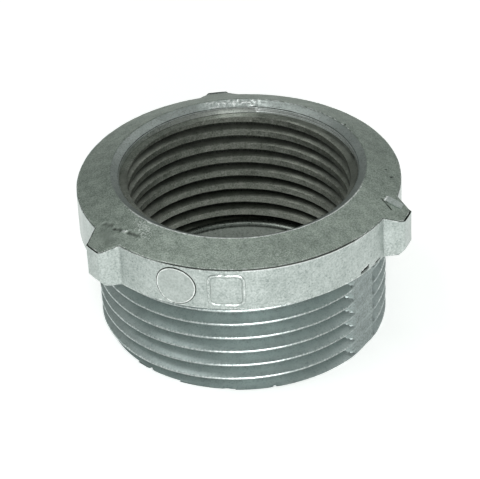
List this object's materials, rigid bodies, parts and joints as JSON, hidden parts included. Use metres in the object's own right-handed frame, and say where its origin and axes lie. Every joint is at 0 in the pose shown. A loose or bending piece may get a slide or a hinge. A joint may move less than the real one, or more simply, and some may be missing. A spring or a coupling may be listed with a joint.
{
  "type": "concentric pipe reducer",
  "caption": "Cast reducing bushing with a male pipe thread, a round collar with wrench lugs and a conical crown, and a smaller female pipe thread on the same axis.",
  "frame": {"origin": "centre of the male thread's end face, on the bore's axis; the part stands on this face", "axes": "+Z along the bore axis and out of the mouth; -Y towards the side with the two wall marks; +X to the right of that side"},
  "size_m": [0.0461, 0.0479, 0.0238],
  "materials": {
    "cast_wall": "satin",
    "cast_top": "rough",
    "cast_thread": "satin",
    "cast_bore": "rough",
    "fresh_metal": "satin"
  },
  "bodies": {
    "root": {"barrel": "cast_wall", "male_thread": "cast_thread", "strip_front": "cast_thread", "strip_back": "cast_thread", "collar": "cast_wall", "lug_left": "cast_wall", "lug_right": "cast_wall", "lug_back": "cast_wall", "crown": "cast_top", "mouth_ring": "cast_top", "female_thread": "cast_bore", "throat": "cast_bore", "die_disc": "fresh_metal", "blank_pad": "fresh_metal", "gate_vestige": "fresh_metal"}
  },
  "joints": []
}
